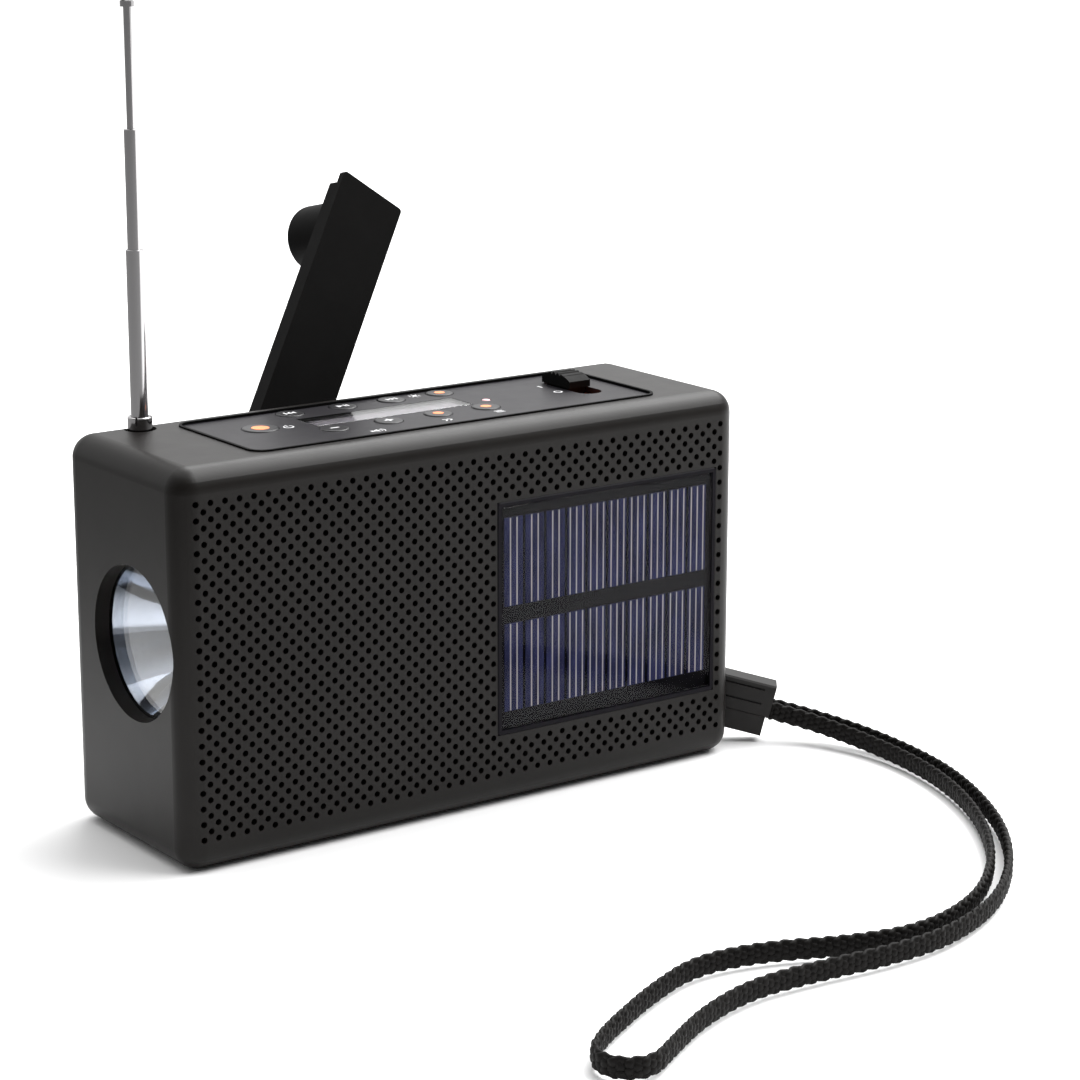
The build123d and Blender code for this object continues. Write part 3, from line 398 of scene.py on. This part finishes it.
def prism(bm, outline, low, thick):
    """A flat shape raised from z = low; the outline runs anticlockwise."""
    floor = [bm.verts.new((x, y, low)) for x, y in outline]
    top = [bm.verts.new((x, y, low + thick)) for x, y in outline]
    bm.faces.new(floor[::-1])
    bm.faces.new(top)
    for k in range(len(outline)):
        m = (k + 1) % len(outline)
        bm.faces.new((floor[k], floor[m], top[m], top[k]))


def disc(x, y, radius):
    turns = [2 * pi * k / PRINT_STEPS for k in range(PRINT_STEPS)]
    return [(x + radius * cos(t), y + radius * sin(t)) for t in turns]


def arc(x, y, inner, outer, start, stop):
    """Outline of a band round (x, y) from one angle to another, in degrees."""
    turns = [radians(start + (stop - start) * k / PRINT_STEPS) for k in range(PRINT_STEPS + 1)]
    outside = [(x + outer * cos(t), y + outer * sin(t)) for t in turns]
    inside = [(x + inner * cos(t), y + inner * sin(t)) for t in turns]
    return outside + inside[::-1]


def bar(x, y, long, wide, degrees=0):
    c, s = cos(radians(degrees)), sin(radians(degrees))
    a, b = long / 2, wide / 2
    corners = ((-a, -b), (a, -b), (a, b), (-a, b))
    return [(x + p * c - q * s, y + p * s + q * c) for p, q in corners]


def arrow(x, y, long, tall, way=1):
    """A triangle that points along +X, or -X where way is -1."""
    corners = [(-way * long / 2, -tall / 2), (way * long / 2, 0), (-way * long / 2, tall / 2)]
    return [(x + a, y + b) for a, b in (corners if way > 0 else corners[::-1])]


def minus_sign(x, y):
    return [bar(x, y, 2.2, 0.5)]


def plus_sign(x, y):
    return [bar(x, y, 2.2, 0.5), bar(x, y + 0.68, 0.5, 0.86), bar(x, y - 0.68, 0.5, 0.86)]


def previous_sign(x, y):
    arrows = [arrow(x - 0.35, y, 1.1, SIGN_TALL, -1), arrow(x + 0.8, y, 1.1, SIGN_TALL, -1)]
    return [bar(x - 1.25, y, SIGN_LINE, SIGN_TALL), *arrows]


def play_sign(x, y):
    bars = [bar(x + 0.55, y, SIGN_LINE, SIGN_TALL), bar(x + 1.25, y, SIGN_LINE, SIGN_TALL)]
    return [arrow(x - 0.7, y, 1.5, 1.8), *bars]


def next_sign(x, y):
    arrows = [arrow(x - 0.8, y, 1.1, SIGN_TALL), arrow(x + 0.35, y, 1.1, SIGN_TALL)]
    return [*arrows, bar(x + 1.25, y, SIGN_LINE, SIGN_TALL)]


BUTTON_SIGNS = {
    "minus_button": minus_sign, "plus_button": plus_sign, "previous_button": previous_sign,
    "play_button": play_sign, "next_button": next_sign,
}


def printed(name, outlines, top, body, finish):
    bm = bmesh.new()
    for outline in outlines:
        prism(bm, [(x * MM, y * MM) for x, y in outline], top, PRINT_THICK)
    return piece(name, bm, body, finish)


DOT_RADIUS = {"power_button": 2.0, "scan_button": 1.25, "mode_button": 1.25, "light_button": 1.25}


def middle_of(node):
    low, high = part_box(node)
    return (low.x + high.x) / 2 / MM, (low.y + high.y) / 2 / MM, high.z


def print_buttons():
    for name, radius in DOT_RADIUS.items():
        x, y, top = middle_of(name)
        printed(name + "_dot", [disc(x, y, radius)], top, name, orange_print)
    for name, sign in BUTTON_SIGNS.items():
        x, y, top = middle_of(name)
        printed(name + "_sign", sign(x, y), top, name, white_print)


def panel_signs():
    """Signs in place of words: a switch ring, a loudspeaker, chevrons, bars, a lamp, and I and O."""
    power = [arc(-31.4, 2.1, 0.95, 1.25, 125, 415), bar(-31.4, 3.1, 0.32, 1.3)]
    volume = [bar(-18.9, -12.6, 0.7, 1.0), arrow(-18.0, -12.6, 1.5, 2.2, -1)]
    volume += [arc(-17.6, -12.6, r, r + 0.25, -40, 40) for r in (1.0, 1.7)]
    scan = []
    for x in (1.0, 2.2):
        scan += [bar(x, -11.6, 1.3, 0.32, -45), bar(x, -12.4, 1.3, 0.32, 45)]
    mode = [bar(16.3, y, 2.2, 0.3) for y in (-10.4, -11.1, -11.8)]
    lamp = [disc(10.2, 14.6, 0.6)]
    for k in range(8):
        turn = radians(45 * k)
        lamp.append(bar(10.2 + 1.25 * cos(turn), 14.6 + 1.25 * sin(turn), 0.6, 0.22, 45 * k))
    on_off = [bar(40.2, 6.4, 0.36, 2.0), arc(40.2, -0.8, 0.75, 1.08, 0, 359.9)]
    return power + volume + scan + mode + lamp + on_off


print_buttons()
panel_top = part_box("control_panel")[1].z
printed("panel_signs", panel_signs(), panel_top, "radio", white_print)


# --- a dark ring round the control panel: the panel's proud edge, darkened with painted shade ---
EDGE_SHADE_INNER = 0.45 * MM
EDGE_SHADE_OUTER = 0.2 * MM
EDGE_SHADE_PROUD = 0.6 * MM
EDGE_SHADE_CORNER = 3.75 * MM
EDGE_SHADE_STEPS = 10


def rounded_rectangle(low, high, grow):
    """Corner points of the panel's outline, grown by a margin."""
    radius = EDGE_SHADE_CORNER + grow
    points = []
    for k, (x, y) in enumerate(((high.x, high.y), (low.x, high.y), (low.x, low.y), (high.x, low.y))):
        middle_x = x - EDGE_SHADE_CORNER if x == high.x else x + EDGE_SHADE_CORNER
        middle_y = y - EDGE_SHADE_CORNER if y == high.y else y + EDGE_SHADE_CORNER
        for step in range(EDGE_SHADE_STEPS + 1):
            turn = radians(90 * k + 90 * step / EDGE_SHADE_STEPS)
            points.append((middle_x + radius * cos(turn), middle_y + radius * sin(turn)))
    return points


# The ring stands proud like the panel's real raised edge; its near-black colour is painted shade on
# that edge's side face.
def make_panel_edge_shade():
    low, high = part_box("control_panel")
    bm = bmesh.new()
    rings = []
    outside = ((EDGE_SHADE_OUTER, 0), (EDGE_SHADE_OUTER, EDGE_SHADE_PROUD))
    inside = ((-EDGE_SHADE_INNER, EDGE_SHADE_PROUD), (-EDGE_SHADE_INNER, 0))
    for grow, z in outside + inside:
        outline = rounded_rectangle(low, high, grow)
        rings.append([bm.verts.new((x, y, high.z + z)) for x, y in outline])
    count = len(rings[0])
    for ring, after in zip(rings, rings[1:] + rings[:1]):
        for k in range(count):
            m = (k + 1) % count
            bm.faces.new((ring[k], ring[m], after[m], after[k]))
    piece("panel_edge_shade_ring", bm, "radio", panel_edge_painted_shade)


make_panel_edge_shade()


# --- solar cells' fingers ---
CELL_COLUMNS = 10
SPARSE_COLUMNS = 3
CELL_WIDE = 5.0 * MM
CELL_BAND = 4.1 * MM
FINGER_WIDE = 0.34 * MM
FINGER_THICK = 0.03 * MM
FINGER_STEP = 1.8 * MM
FINGER_END_GAP = 0.1 * MM


def make_fingers():
    """Thin silver lines up each solar cell, two on the first three columns and three on the rest."""
    low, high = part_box("solar_cells")
    pitch = (high.x - low.x - CELL_WIDE) / (CELL_COLUMNS - 1)
    half = (high.z - low.z - CELL_BAND) / 2
    rows = ((low.z, low.z + half), (high.z - half, high.z))
    bm = bmesh.new()
    for column in range(CELL_COLUMNS):
        count = 2 if column < SPARSE_COLUMNS else 3
        middle = low.x + CELL_WIDE / 2 + column * pitch
        for k in range(count):
            x = middle + (k - (count - 1) / 2) * FINGER_STEP
            for bottom, top in rows:
                left, right = x - FINGER_WIDE / 2, x + FINGER_WIDE / 2
                foot, head = bottom + FINGER_END_GAP, top - FINGER_END_GAP
                corners = [(left, foot), (right, foot), (right, head), (left, head)]
                front = [bm.verts.new((a, low.y - FINGER_THICK, b)) for a, b in corners]
                back = [bm.verts.new((a, low.y, b)) for a, b in corners]
                bm.faces.new(front)
                bm.faces.new(back[::-1])
                for m in range(4):
                    n = (m + 1) % 4
                    bm.faces.new((front[m], back[m], back[n], front[n]))
    piece("solar_fingers", bm, "radio", finger_silver)


make_fingers()


# --- floor and light ---
FLOOR_HALF = 9
FLOOR_GAP = 0.2 * MM
FLOOR_PALE = (0.9, 0.9, 0.9)
FLOOR_SHADE_GREY = (0.2, 0.2, 0.2)
# Past a start in metres along each direction, the floor's colour falls from pale to grey: painted
# shade, so that the radio reflects a darker floor there.
FLOOR_SHADE_SIDES = [((-0.587, -0.81, 0), 0.2), ((-0.9, 0.437, 0), 0.1)]
FLOOR_FALL = 0.18


def make_floor():
    """A pale floor that reaches past every view, its colour falling to grey in front and on the left
    as painted shade.
    """
    bm = bmesh.new()
    half = FLOOR_HALF
    corners = ((-half, -half), (half, -half), (half, half), (-half, half))
    bm.faces.new([bm.verts.new((x, y, -FLOOR_GAP)) for x, y in corners])
    mesh = bpy.data.meshes.new("floor")
    bm.to_mesh(mesh)
    bm.free()
    floor = bpy.data.objects.new("floor", mesh)
    bpy.context.scene.collection.objects.link(floor)
    finish = Finish("floor_paper", FLOOR_PALE, 0.9)
    finish.vary_rough(finish.noise(3, 3), 0.86, 0.94)
    farthest = finish.node("ShaderNodeMath", operation="MAXIMUM")
    for index, (side, start) in enumerate(FLOOR_SHADE_SIDES):
        toward = finish.node("ShaderNodeVectorMath", operation="DOT_PRODUCT")
        socket(toward, 1, side)
        past = finish.node("ShaderNodeMath", operation="SUBTRACT")
        socket(past, 1, start)
        finish.link(finish.place, toward.inputs[0])
        finish.link(toward.outputs["Value"], past.inputs[0])
        finish.link(past.outputs["Value"], farthest.inputs[index])
    fall = finish.node("ShaderNodeMapRange", interpolation_type="SMOOTHSTEP")
    socket(fall, "From Max", FLOOR_FALL)
    finish.link(farthest.outputs["Value"], fall.inputs["Value"])
    # painted shade: the floor's colour darkens to grey past the starts
    finish.tint(fall.outputs["Result"], FLOOR_PALE, FLOOR_SHADE_GREY, 0.0, 1.0)
    dress(floor, finish)


SKY_BRIGHT_SIDE = (0.35, 0.78, 0.52)
SKY_FADE = (-0.5, 0.8)
SKY_DIM = 0.1
SKY_BRIGHT = 1.0
OVERHEAD_STRENGTH = 1.35
OVERHEAD_SPREAD = 70
OVERHEAD_TILT = (-12, 8, 0)
# name, place and size in metres, watts
SOFTBOXES = [
    ("softbox_front", (1.0, -0.35, 1.45), (1.7, 1.1), 44),
    ("softbox_back", (0.95, 0.75, 1.25), (1.2, 0.8), 17),
]


def make_light():
    """A soft sky, bright behind and above and dim in front, a wide light overhead, two softboxes."""
    world = bpy.data.worlds.new("studio")
    world.use_nodes = True
    tree = world.node_tree
    background = tree.nodes["Background"]
    coordinates = tree.nodes.new("ShaderNodeTexCoord")
    toward = tree.nodes.new("ShaderNodeVectorMath")
    toward.operation = "DOT_PRODUCT"
    socket(toward, 1, SKY_BRIGHT_SIDE)
    spread = tree.nodes.new("ShaderNodeMapRange")
    spread.interpolation_type = "SMOOTHSTEP"
    levels = (*SKY_FADE, SKY_DIM, SKY_BRIGHT)
    for name, value in zip(("From Min", "From Max", "To Min", "To Max"), levels):
        socket(spread, name, value)
    tree.links.new(coordinates.outputs["Generated"], toward.inputs[0])
    tree.links.new(toward.outputs["Value"], spread.inputs["Value"])
    tree.links.new(spread.outputs["Result"], background.inputs["Strength"])
    socket(background, "Color", (1, 1, 1, 1))
    bpy.context.scene.world = world
    sun = bpy.data.lights.new("overhead", "SUN")
    sun.energy = OVERHEAD_STRENGTH
    sun.angle = radians(OVERHEAD_SPREAD)
    overhead = bpy.data.objects.new("overhead", sun)
    overhead.rotation_euler = [radians(a) for a in OVERHEAD_TILT]
    bpy.context.scene.collection.objects.link(overhead)
    for name, place, size, watts in SOFTBOXES:
        box = bpy.data.lights.new(name, "AREA")
        box.shape = "RECTANGLE"
        box.size, box.size_y = size
        box.energy = watts
        softbox = bpy.data.objects.new(name, box)
        softbox.location = place
        softbox.rotation_euler = Vector(place).to_track_quat("Z", "Y").to_euler()
        bpy.context.scene.collection.objects.link(softbox)


make_floor()
make_light()
bpy.context.scene.view_settings.view_transform = "Standard"
